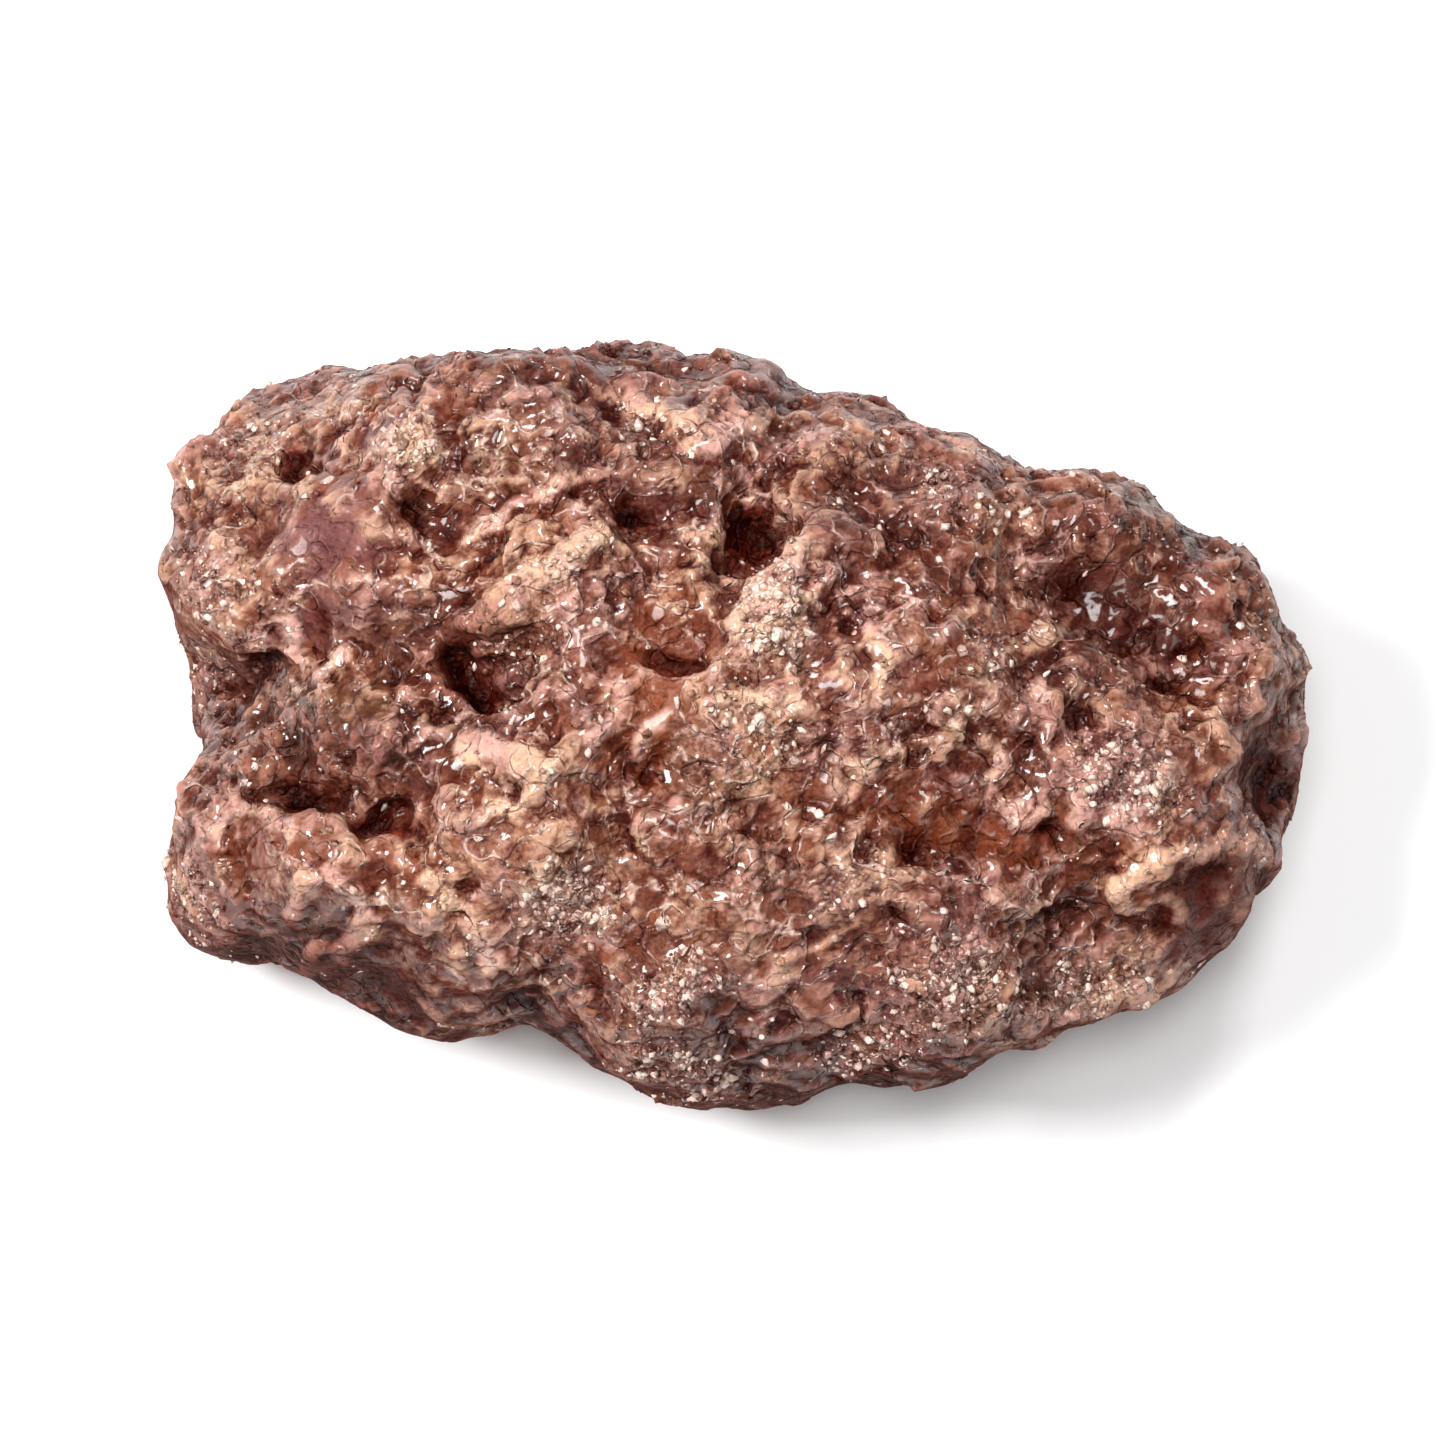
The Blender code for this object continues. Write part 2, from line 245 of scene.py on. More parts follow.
# Holes of the upper side: x, y, half-length, half-width, turn in degrees, depth
HOLES = (
    (-7.8, -0.6, 0.95, 0.45, -50, 1.2),
    (-7.0, -1.1, 0.85, 0.4, 10, 1.1),
    (-9.9, -5.0, 0.9, 0.4, 20, 1.0),
    (-9.1, -5.3, 0.65, 0.4, -40, 0.9),
    (-14.0, 5.9, 0.75, 0.65, 0, 0.8),
    (-10.1, 4.3, 0.8, 0.6, -20, 0.8),
    (0.2, 5.0, 0.85, 1.4, -10, 1.2),
    (-1.6, 0.6, 0.75, 0.4, 5, 0.7),
    (-3.5, 5.0, 0.7, 0.55, 0, 0.7),
    (6.3, -3.9, 0.5, 0.4, 0, 0.6),
    (13.6, 3.6, 0.7, 0.5, 30, 0.6),
    (13.1, 2.5, 0.6, 0.4, 0, 0.6),
    (17.2, -0.1, 0.6, 1.1, 10, 0.7),
    (14.0, -4.9, 0.6, 0.4, 20, 0.5),
    (-14.6, -0.6, 1.6, 0.35, 5, 0.6),
    (-12.6, -4.5, 2.2, 0.35, -8, 0.6),
    (10.3, -2.6, 0.5, 0.35, 0, 0.5),
)

# Raised rims and folds of the upper side: half-width, height, and the points that each one passes
CRESTS = (
    (0.55, 0.45, (-7.4, 1.2), (-6.1, 2.4), (-4.5, 4.0)),
    (0.6, 0.4, (-10.6, 6.1), (-10.2, 6.2)),
    (0.26, 0.3, (-12.3, -8.1), (-12.1, -7.4), (-11.4, -6.9), (-10.4, -7.3), (-9.9, -8.0)),
    (0.26, 0.26, (-9.9, -8.0), (-10.6, -8.8), (-11.6, -8.9)),
    (0.45, 0.3, (-7.4, -2.6), (-5.4, -3.1)),
    (0.24, 0.3, (-6.7, -4.9), (-5.4, -4.3), (-4.8, -3.4)),
    (0.2, 0.24, (-9.6, -3.0), (-8.2, -2.3)),
    (0.24, 0.26, (-13.5, 0.8), (-13.3, -0.1), (-12.5, -0.7), (-11.5, -0.2)),
    (0.3, 0.2, (-15.2, -5.9), (-14.5, -4.9), (-13.4, -4.9), (-12.5, -5.9)),
    (0.2, 0.26, (-8.2, 3.8), (-6.8, 5.0), (-5.4, 6.2)),
    (0.2, 0.2, (-7.7, 5.9), (-6.1, 5.3), (-4.8, 6.3)),
    (0.4, 0.3, (-3.8, 8.8), (-2.2, 8.2)),
    (0.45, 0.3, (-1.7, 7.6), (-0.5, 8.7)),
    (0.24, 0.25, (-8.0, -6.8), (-6.7, -7.9), (-5.8, -8.9)),
    (0.22, 0.22, (-3.7, -2.3), (-3.1, -1.3), (-3.2, -0.3)),
    (0.22, 0.22, (-2.4, -2.4), (-1.8, -1.2)),
    (0.4, 0.2, (-16.5, -6.4), (-15.7, -7.6), (-14.5, -8.3)),
    (0.28, 0.32, (0.1, 1.7), (0.9, 3.5), (1.9, 4.6)),
    (0.26, 0.26, (0.6, 1.2), (1.7, 2.9), (2.7, 3.9)),
    (0.18, 0.22, (7.8, 8.0), (8.8, 6.7)),
    (0.4, 0.22, (5.8, 7.1), (6.8, 7.1)),
    (0.24, 0.32, (8.6, -0.7), (8.2, -1.5), (8.9, -2.1), (9.8, -2.2)),
    (0.26, 0.32, (12.6, -4.2), (13.4, -3.3), (14.5, -2.6), (16.5, -1.9), (17.5, -2.0)),
    (0.3, 0.25, (9.0, 2.9), (10.0, 3.6)),
    (0.4, 0.3, (4.0, -2.4), (4.5, -1.9)),
    (0.24, 0.22, (1.8, -8.7), (2.7, -8.0), (4.1, -6.9)),
    (0.3, 0.24, (9.3, 1.8), (9.9, 0.6)),
    (0.25, 0.24, (0.8, -0.2), (1.8, -0.6), (2.3, 0.1)),
    (0.22, 0.2, (3.9, 2.3), (4.8, 1.3), (4.8, 0.1)),
    (0.35, 0.3, (11.2, -2.2), (11.2, -1.0), (12.3, -0.2)),
    (0.35, 0.3, (12.5, -2.2), (13.1, -0.9), (13.8, -0.1)),
    (0.22, 0.2, (15.2, 4.0), (16.3, 3.9), (16.1, 2.8)),
    (0.35, 0.26, (6.9, -7.8), (7.8, -7.0), (8.6, -6.4)),
    (0.25, 0.24, (5.3, -10.1), (6.5, -9.5)),
    (0.35, 0.24, (11.3, -8.1), (12.8, -7.1), (14.6, -6.2)),
    (0.22, 0.2, (15.6, 0.5), (14.8, 1.1), (15.2, 2.1)),
    (0.3, 0.22, (4.7, 9.6), (6.1, 9.0), (6.9, 8.7)),
)

# Small pits anywhere on the nut: how many, radii and depths
PIT_COUNT = 40
PIT_RADII = (0.25, 0.5)
PIT_DEPTHS = (0.25, 0.6)
PIT_SEED = 5

# Rounds of softening that broad hollows and narrow cracks are measured against
BROAD_ROUNDS = 70
NARROW_ROUNDS = 7

# The share of their painted shade that hollows and cracks lose in pale places and under stuck pieces
PALE_SPARED = 0.5
STUCK_HOLLOWS = 0.4

# What is stuck to the crust: how many, and lengths across
CRUMB_COUNT = 350
CRUMB_SIZES = (0.25, 0.8)
GRAIN_COUNT = 6500
GRAIN_SIZES = (0.15, 0.52)
SCATTER_SEED = 23
CLUMP_SIZE = 1.8
CLUMP_SHIFT = 51.0
CLUMP_RANGE = (-0.2, 0.35)

# How small most pieces are, how uneven, how far they stand out and sink, in radii, and their cuts
SMALL_SHARE = 2.0
CRUMB_STRETCH = 0.35
GRAIN_STRETCH = 0.5
CRUMB_RISE = -0.45
GRAIN_RISE = 0.0
SIDE_SUNK = 0.5
CHIP_CUTS = 9
CHIP_DEPTHS = (0.3, 0.8)
LEAST_TOWARDS = 0.05

# Flat facets in the fine surface: sizes of the flakes and of the chips, and how uneven they are
FLAKE_SIZE = 1.1
CHIP_SIZE = 0.45
FACET_WARP_SIZE = 0.6
FACET_WARP_REACH = 0.6

# Noise of the colours: size, detail and roughness
BROAD_NOISE = (2.2, 4.0, 0.65)
MEDIUM_NOISE = (0.8, 4.0, 0.7)
FINE_NOISE = (0.24, 3.0, 0.7)

# Thin lines drawn on the crust, the pale ones a painted highlight along the folds and the dark ones painted
# shade in the cracks: size and width
FOLD_LINES = (1.2, 0.035)
CRACK_LINES = (1.5, 0.03)
LINE_DETAIL = (1.5, 0.5)

# The finest relief, too small for the mesh: height and strength
LINE_BUMP = (0.09, 0.9)
FACET_BUMP = (0.6, 0.9)
CELL_SIZE = 0.2
CELL_BUMP = (0.07, 0.7)
FINE_BUMP = (0.08, 0.8)

# The glaze: how rough and how thick it is, and the light that goes into the sugar
ROUGHNESSES = (0.46, 0.24)
SMOOTH_POLISH = 0.06
SIDE_DULLNESS = 0.45
COAT = 0.85
COAT_ROUGHNESS = 0.1
DRY_CRACKS = 0.6
DRY_SMOOTH = 0.6
DRY_ENOUGH = 0.8
GLOSS = 0.12
GLOW = 0.45
GLOW_COLOURS = (1.0, 0.32, 0.18)
GLOW_REACH = 0.5

# Soft lights: name, turn and height in degrees, distance and side in metres, power
LIGHTS = (
    ("key", -90.0, 55.0, 0.5, 0.14, 2.4),
    ("overhead", 0.0, 86.0, 0.6, 0.18, 1.7),
    ("rear", 170.0, 50.0, 0.5, 0.1, 0.9),
    ("side", 65.0, 50.0, 0.5, 0.15, 0.2),
)
ROOM_LIGHT = 0.2

FLOOR_SIDE = 3.0
FLOOR_SHADE = 0.93
VIEW_AZIMUTH = 7.2
VIEW_ELEVATION = 80.0
LENS = 240.0
SENSOR = 36.0
NUT_SHARE = 0.8

Surface = namedtuple("Surface", "points normals triangles")


def srgb(red, green, blue):
    """The linear colour of three values out of 255."""
    def linear(value):
        value /= 255.0
        return value / 12.92 if value <= 0.04045 else ((value + 0.055) / 1.055) ** 2.4
    return (linear(red), linear(green), linear(blue), 1.0)


def smooth_step(values, low, high):
    share = np.clip((values - low) / (high - low), 0.0, 1.0)
    return share * share * (3.0 - 2.0 * share)


# Reading and writing meshes


def read_surface(data):
    """The points and normals of a mesh, in millimetres, with its triangles."""
    count = len(data.vertices)
    points = np.empty(count * 3, np.float32)
    data.vertices.foreach_get("co", points)
    normals = np.empty(count * 3, np.float32)
    data.vertex_normals.foreach_get("vector", normals)
    data.calc_loop_triangles()
    triangles = np.empty(len(data.loop_triangles) * 3, np.int32)
    data.loop_triangles.foreach_get("vertices", triangles)
    points = points.reshape(-1, 3).astype(float) / MM
    return Surface(points, normals.reshape(-1, 3).astype(float), triangles.reshape(-1, 3))


def write_points(data, points):
    """Moves the mesh's points to these places, given in millimetres."""
    data.vertices.foreach_set("co", (points * MM).astype(np.float32).ravel())
    data.update()


def write_value(data, name, values):
    layer = data.attributes.new(name, "FLOAT", "POINT")
    layer.data.foreach_set("value", values.astype(np.float32))


def mesh_of(name, points, triangles):
    data = bpy.data.meshes.new(name)
    data.vertices.add(len(points))
    data.vertices.foreach_set("co", (points * MM).astype(np.float32).ravel())
    data.loops.add(triangles.size)
    data.loops.foreach_set("vertex_index", triangles.astype(np.int32).ravel())
    data.polygons.add(len(triangles))
    data.polygons.foreach_set("loop_start", np.arange(0, triangles.size, 3, dtype=np.int32))
    data.update(calc_edges=True)
    return data


def object_of(data):
    obj = bpy.data.objects.new(data.name, data)
    bpy.context.scene.collection.objects.link(obj)
    return obj


def dress(obj, material):
    """Gives the piece its material and ties it to the nut."""
    obj.data.materials.clear()
    obj.data.materials.append(material)
    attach(obj, BODY)
    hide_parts(NODE)


def remeshed(data, square, rounds):
    """The same surface in even squares, softened by this many rounds of smoothing."""
    obj = object_of(data)
    remesh = obj.modifiers.new("even", "REMESH")
    remesh.mode = "VOXEL"
    remesh.voxel_size = square * MM
    soften = obj.modifiers.new("soften", "SMOOTH")
    soften.factor = 0.5
    soften.iterations = rounds
    graph = bpy.context.evaluated_depsgraph_get()
    made = bpy.data.meshes.new_from_object(obj.evaluated_get(graph))
    bpy.data.objects.remove(obj)
    bpy.data.meshes.remove(data)
    return made


def welded_copy(node):
    """The node's mesh with its corners joined."""
    mesh = bmesh.new()
    mesh.from_mesh(node.data)
    bmesh.ops.remove_doubles(mesh, verts=mesh.verts, dist=0.001 * MM)
    data = bpy.data.meshes.new("crust")
    mesh.to_mesh(data)
    mesh.free()
    return data


# Patterns over the surface


def noise_at(points, size, shift=0.0):
    """Smooth noise of about -1 to 1, with features of this size."""
    offset = Vector((shift, 2.0 * shift, -shift))
    return np.array([noise.noise(Vector(point) / size + offset) for point in points])


def ragged(points):
    """The points moved about a little, so that what is drawn at them has uneven edges."""
    pushes = [noise_at(points, RAGGED_SIZE, 7.0 + axis) for axis in range(3)]
    return points + RAGGED_REACH * np.stack(pushes, axis=1)


def patches_at(points, patches):
    """How strongly each point lies in one of the patches, seen from above."""
    value = np.zeros(len(points))
    for x, y, length, width, turn, strength in patches:
        angle = math.radians(turn)
        east, north = points[:, 0] - x, points[:, 1] - y
        along = (east * math.cos(angle) + north * math.sin(angle)) / length
        across = (north * math.cos(angle) - east * math.sin(angle)) / width
        value = np.maximum(value, strength * np.exp(-((along**2 + across**2) ** 1.5)))
    return value


def zone(points, top, patches, shift, size, share):
    """The named patches on the upper side, and a loose pattern of the same kind everywhere else."""
    loose = smooth_step(noise_at(points, size, shift), share, share + LOOSE_EDGE)
    return np.maximum(patches_at(points, patches) * top, loose * (1.0 - LOOSE_LOST_ON_TOP * top))


def crumbly(points):
    return smooth_step(noise_at(points, CRUMBLY_SIZE, CRUMBLY_SHIFT), *CRUMBLY_RANGE)


def crest_rise(points, top):
    """How far the named rims and folds stand up at each point."""
    rise = np.zeros(len(points))
    for width, height, *line in CRESTS:
        for start, end in zip(line[:-1], line[1:]):
            way = np.subtract(end, start)
            east, north = points[:, 0] - start[0], points[:, 1] - start[1]
            along = np.clip((east * way[0] + north * way[1]) / way.dot(way), 0.0, 1.0)
            distance = np.hypot(east - along * way[0], north - along * way[1])
            rise = np.maximum(rise, height * np.exp(-((distance / width) ** 3)))
    return rise * top


def neighbour_mean(values, edges, valence):
    total = np.zeros_like(values)
    for axis in range(values.shape[1]):
        total[:, axis] = np.bincount(edges[:, 0], values[edges[:, 1], axis], len(values))
        total[:, axis] += np.bincount(edges[:, 1], values[edges[:, 0], axis], len(values))
    return total / valence[:, None]


def sunken(data, surface, rounds):
    """How far each point lies below the surface softened by this many rounds, in millimetres."""
    edges = np.empty(len(data.edges) * 2, np.int32)
    data.edges.foreach_get("vertices", edges)
    edges = edges.reshape(-1, 2)
    valence = np.bincount(edges.ravel(), minlength=len(surface.points)).astype(float)
    soft = surface.points.copy()
    for _ in range(rounds):
        soft = neighbour_mean(soft, edges, valence)
    return ((soft - surface.points) * surface.normals).sum(axis=1)


def drift(place):
    """A smooth uneven push along each axis, from about -1 to 1."""
    return Vector([noise.noise(place + Vector((shift, -shift, shift))) for shift in DRIFT_SHIFTS])


def warped_by(point, size, reach):
    return point + drift(point / size) * reach


def plate_height(point, size, step, tilt, crack_width, crack_depth):
    """Plates of crust at uneven levels, each with its own tilt, and the cracks that part them."""
    distances, centres = noise.voronoi(point / size)
    centre = centres[0]
    level = noise.noise(centre * LEVEL_SPREAD)
    slope = (point / size - centre).dot(drift(centre * TILT_SPREAD))
    border = min(1.0, (distances[1] - distances[0]) / crack_width)
    return step * level + tilt * slope - crack_depth * (1.0 - border) ** 2


def plate_tone(point):
    """How light the plate of crust at this point is, from -1 to 1."""
    warped = warped_by(warped_by(point, WARP_SIZE, WARP_REACH), GRIT_WARP_SIZE, GRIT_WARP_REACH)
    tone = 0.0
    for size, share in PLATE_TONES:
        centre = noise.voronoi(warped / size)[1][0]
        tone += share * noise.noise(centre * LEVEL_SPREAD)
    return tone


def fold_height(point, size, height, sharpness):
    return height * max(0.0, 1.0 - sharpness * abs(noise.noise(point / size))) ** 2


def crag_height(point):
    warped = warped_by(point, WARP_SIZE, WARP_REACH)
    return fold_height(warped, *CRAG_FOLD) + sum(plate_height(warped, *plates) for plates in CRAG_PLATES)


def grit_height(point):
    warped = warped_by(point, GRIT_WARP_SIZE, GRIT_WARP_REACH)
    height = sum(fold_height(warped, *fold) for fold in GRIT_FOLDS)
    height += sum(plate_height(warped, *plates) for plates in GRIT_PLATES)
    return height + DUST_HEIGHT * noise.noise(point / DUST_SIZE)


def hole_depths(points, top):
    """The named holes of the upper side, and small pits scattered over the whole nut."""
    depth = np.zeros(len(points))
    for x, y, length, width, turn, deep in HOLES:
        depth = np.maximum(depth, deep * patches_at(points, ((x, y, length, width, turn, 1.0),)) * top)
    draw = np.random.default_rng(PIT_SEED)
    for centre in points[draw.integers(len(points), size=PIT_COUNT)]:
        radius, deep = draw.uniform(*PIT_RADII), draw.uniform(*PIT_DEPTHS)
        distance = np.linalg.norm(points - centre, axis=1)
        depth = np.maximum(depth, deep * np.exp(-((distance / radius) ** 3)))
    return depth


def heights_of(rule, points):
    return np.array([rule(Vector(point)) for point in points])


def fitted(points):
    """The points scaled back into the nut's own box, and none below the surface that it lies on."""
    low, high = (np.array(corner) / MM for corner in cad_box)
    least, most = points.min(axis=0), points.max(axis=0)
    scale = np.minimum(1.0, (high - low) / (most - least))
    centre = (low + high) / 2.0
    fit = (points - (least + most) / 2.0) * scale + centre
    fit[:, 2] = np.maximum(points[:, 2] * (high[2] / max(most[2], high[2])), 0.0)
    return fit


# The crust


def crust_shell():
    """The crust: the nut's solid with plates, cracks, holes, rims and grit cut into it."""
    data = remeshed(welded_copy(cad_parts[NODE]), CRAG_SQUARE, CRAG_SOFTENING)
    surface = read_surface(data)
    top = smooth_step(surface.normals[:, 2], *TOP_FACING)
    places = ragged(surface.points)
    smooth = zone(places, top, *ZONES["smooth"])
    lying = smooth_step(surface.points[:, 2], *CRAG_LYING)
    rough = (1.0 - SMOOTH_CRAGS_LOST * smooth) * (SIDE_CRAGS + (1.0 - SIDE_CRAGS) * top)
    rise = heights_of(crag_height, surface.points) * rough
    rise = (rise - hole_depths(places, top) + crest_rise(places, top)) * lying
    write_points(data, surface.points + surface.normals * rise[:, None])

    data = remeshed(data, GRIT_SQUARE, GRIT_SOFTENING)
    surface = read_surface(data)
    top = smooth_step(surface.normals[:, 2], *TOP_FACING)
    smooth = zone(ragged(surface.points), top, *ZONES["smooth"])
    lying = smooth_step(surface.points[:, 2], *GRIT_LYING)
    rough = GLAZED_GRIT + (1.0 - GLAZED_GRIT) * crumbly(surface.points)
    rough *= (1.0 - SMOOTH_GRIT_LOST * smooth) * (SIDE_GRIT + (1.0 - SIDE_GRIT) * top) * lying
    rise = heights_of(grit_height, surface.points) * rough
    write_points(data, fitted(surface.points + surface.normals * rise[:, None]))
    data.name = "crust"
    data.shade_smooth()
    return data


def zones_of(data, surface):
    """Where the crust is smooth, pale, amber, mauve, olive, red, sunken, cracked or raised."""
    points = surface.points
    upward = surface.normals[:, 2]
    places = ragged(points)
    top = smooth_step(upward, *PAINTED_FACING)
    side_shaded = 1.0 - UNDER_SPARED * smooth_step(-upward, *UNDER_FACING)
    broad = sunken(data, surface, BROAD_ROUNDS)
    narrow = sunken(data, surface, NARROW_ROUNDS)
    zones = {name: zone(places, top, *rule) for name, rule in ZONES.items()}
    dark = 1.0 - PALE_SPARED * zones["pale"]
    zones.update({
        # Painted shade of the named dark patches, on all but the underside
        "patch_shade": patches_at(points, PAINTED_SHADE_PATCHES) * smooth_step(upward, *OUTER_FACING),
        # Painted shade in the holes
        "hole": smooth_step(hole_depths(places, top), 0.2, 0.8),
        # Painted shade in the broad hollows
        "sunken": smooth_step(broad, -0.08, 0.4) * dark,
        # Painted light: the broad raised parts lighter
        "raised": smooth_step(-broad, 0.0, 0.4),
        # Painted shade in the narrow cracks
        "crack": smooth_step(narrow, 0.0, 0.09) * dark,
        # Edges painted pale: partly worn sugar, partly a painted highlight along the ridges
        "edge": smooth_step(-narrow, 0.02, 0.1),
        "tone": 0.5 + 0.5 * heights_of(plate_tone, points),
        # Painted shade on the steep sides and on the low parts, less of it on the underside
        "side": (1.0 - smooth_step(upward, *STEEP_FACING)) * side_shaded,
        "low": (1.0 - smooth_step(points[:, 2], *LOW_HEIGHTS)) * side_shaded,
        # Crests painted pale: partly pale sugar, partly a painted highlight along the rims
        "crest": smooth_step(crest_rise(places, top), 0.05, 0.22),
    })
    return zones


def paint(data, zones, nearest=None, repeats=1):
    """Writes the zones on a mesh, or on loose pieces what the crust has where each is stuck."""
    for name, values in zones.items():
        write_value(data, name, values if nearest is None else np.repeat(values[nearest], repeats))


# Loose pieces


def random_turns(draw, count):
    """Rotation matrices turned every way."""
    quaternion = draw.normal(size=(count, 4))
    w, x, y, z = (quaternion / np.linalg.norm(quaternion, axis=1, keepdims=True)).T
    return np.stack([
        np.stack([1 - 2 * (y * y + z * z), 2 * (x * y - z * w), 2 * (x * z + y * w)], axis=1),
        np.stack([2 * (x * y + z * w), 1 - 2 * (x * x + z * z), 2 * (y * z - x * w)], axis=1),
        np.stack([2 * (x * z - y * w), 2 * (y * z + x * w), 1 - 2 * (x * x + y * y)], axis=1),
    ], axis=1)


def ball(subdivisions):
    """The points and triangles of a ball of radius 1 made of even triangles."""
    mesh = bmesh.new()
    bmesh.ops.create_icosphere(mesh, subdivisions=subdivisions, radius=1.0)
    mesh.verts.index_update()
    points = np.array([vert.co for vert in mesh.verts])
    triangles = np.array([[vert.index for vert in face.verts] for face in mesh.faces])
    mesh.free()
    return points, triangles


def spots(draw, surface, count, density):
    """Places on the surface, drawn by area and by the density at its points, with normals."""
    corners = surface.points[surface.triangles]
    area = np.linalg.norm(np.cross(corners[:, 1] - corners[:, 0], corners[:, 2] - corners[:, 0]), axis=1)
    weight = area * density[surface.triangles].mean(axis=1)
    chosen = draw.choice(len(area), size=count, p=weight / weight.sum())
    share = draw.dirichlet((1.0, 1.0, 1.0), size=count)
    places = (corners[chosen] * share[:, :, None]).sum(axis=1)
    normals = (surface.normals[surface.triangles[chosen]] * share[:, :, None]).sum(axis=1)
    normals /= np.linalg.norm(normals, axis=1, keepdims=True)
    return places, normals, surface.triangles[chosen, 0]


def chipped(draw, base, count, cuts, depths):
    """How far out each point of a ball lies, for this many balls, once flat chips are cut off."""
    faces = draw.normal(size=(count, cuts, 3))
    faces /= np.linalg.norm(faces, axis=2, keepdims=True)
    towards = np.einsum("vk,nck->nvc", base, faces)
    reach = draw.uniform(*depths, size=(count, 1, cuts)) / np.maximum(towards, LEAST_TOWARDS)
    return np.minimum(reach.min(axis=2), 1.0)[:, :, None]


def stuck_lumps(name, draw, surface, density, count, limits, shape, stretched, rise):
    """One mesh of many chipped lumps, each with its own turn, size and shape, sunk in the crust."""
    places, normals, nearest = spots(draw, surface, count, density)
    radii = (limits[0] + (limits[1] - limits[0]) * draw.random(count) ** SMALL_SHARE) / 2.0
    places += normals * (radii * (rise - SIDE_SUNK * (1.0 - np.maximum(normals[:, 2], 0.0))))[:, None]
    base, triangles = shape
    stretch = 1.0 + stretched * draw.uniform(-1.0, 1.0, size=(count, 1, 3))
    local = base[None] * chipped(draw, base, count, CHIP_CUTS, CHIP_DEPTHS) * stretch * radii[:, None, None]
    points = np.einsum("nvk,njk->nvj", local, random_turns(draw, count)) + places[:, None]
    joined = (triangles[None] + np.arange(count)[:, None, None] * len(base)).reshape(-1, 3)
    points = points.reshape(-1, 3)
    points[:, 2] = np.maximum(points[:, 2], 0.0)
    data = mesh_of(name, points, joined)
    write_value(data, "tint", np.repeat(draw.random(count), len(base)))
    return data, nearest, len(base)


# Materials


def new_material(name):
    material = bpy.data.materials.new(name)
    material.use_nodes = True
    return material, material.node_tree, material.node_tree.nodes["Principled BSDF"]


def millimetres(tree):
    """Coordinates of the surface in millimetres."""
    place = tree.nodes.new("ShaderNodeTexCoord")
    scale = tree.nodes.new("ShaderNodeMapping")
    scale.inputs["Scale"].default_value = (1.0 / MM, 1.0 / MM, 1.0 / MM)
    tree.links.new(place.outputs["Object"], scale.inputs["Vector"])
    return scale.outputs["Vector"]


def noise_pattern(tree, place, size, detail, roughness):
    pattern = tree.nodes.new("ShaderNodeTexNoise")
    pattern.inputs["Scale"].default_value = 1.0 / size
    pattern.inputs["Detail"].default_value = detail
    pattern.inputs["Roughness"].default_value = roughness
    tree.links.new(place, pattern.inputs["Vector"])
    return pattern.outputs["Fac"]


def cell_pattern(tree, place, size):
    """A voronoi pattern of cells of this size."""
    pattern = tree.nodes.new("ShaderNodeTexVoronoi")
    pattern.inputs["Scale"].default_value = 1.0 / size
    tree.links.new(place, pattern.inputs["Vector"])
    return pattern


def vectors(tree, operation, first, second, output="Vector"):
    node = tree.nodes.new("ShaderNodeVectorMath")
    node.operation = operation
    for socket, value in zip(node.inputs, (first, second)):
        if isinstance(value, tuple):
            socket.default_value = value
        else:
            tree.links.new(value, socket)
    return node.outputs[output]


def uneven_place(tree, place, size, reach):
    """The coordinates pushed about, so that patterns drawn at them have uneven edges."""
    pattern = tree.nodes.new("ShaderNodeTexNoise")
    pattern.inputs["Scale"].default_value = 1.0 / size
    pattern.inputs["Detail"].default_value = 2.0
    tree.links.new(place, pattern.inputs["Vector"])
    push = vectors(tree, "SUBTRACT", pattern.outputs["Color"], (0.5, 0.5, 0.5))
    return vectors(tree, "ADD", place, vectors(tree, "MULTIPLY", push, (reach, reach, reach)))


def facets(tree, place, size):
    """Heights of flat facets, each tilted its own way, and the random shade of each."""
    pattern = cell_pattern(tree, place, size)
    tilt = vectors(tree, "SUBTRACT", pattern.outputs["Color"], (0.5, 0.5, 0.5))
    away = vectors(tree, "SUBTRACT", place, pattern.outputs["Position"])
    return vectors(tree, "DOT_PRODUCT", away, tilt, "Value"), pattern.outputs["Color"]


def lines(tree, place, size, width):
    """Thin wandering lines, this wide beside a spacing of 1, where smooth noise crosses its middle."""
    pattern = noise_pattern(tree, place, size, *LINE_DETAIL)
    away = maths(tree, "ABSOLUTE", maths(tree, "SUBTRACT", pattern, 0.5), 0.0)
    return ranged(tree, away, 0.0, width, 1.0, 0.0)


def ranged(tree, value, low, high, start=0.0, end=1.0):
    """The value's share of the way from low to high, turned into start to end."""
    node = tree.nodes.new("ShaderNodeMapRange")
    node.interpolation_type = "SMOOTHSTEP"
    node.inputs["From Min"].default_value = low
    node.inputs["From Max"].default_value = high
    node.inputs["To Min"].default_value = start
    node.inputs["To Max"].default_value = end
    tree.links.new(value, node.inputs["Value"])
    return node.outputs["Result"]


def stored(tree, name):
    node = tree.nodes.new("ShaderNodeAttribute")
    node.attribute_name = name
    return node.outputs["Fac"]


def maths(tree, operation, first, second):
    node = tree.nodes.new("ShaderNodeMath")
    node.operation = operation
    for socket, value in zip(node.inputs, (first, second)):
        if isinstance(value, (int, float)):
            socket.default_value = value
        else:
            tree.links.new(value, socket)
    return node.outputs["Value"]


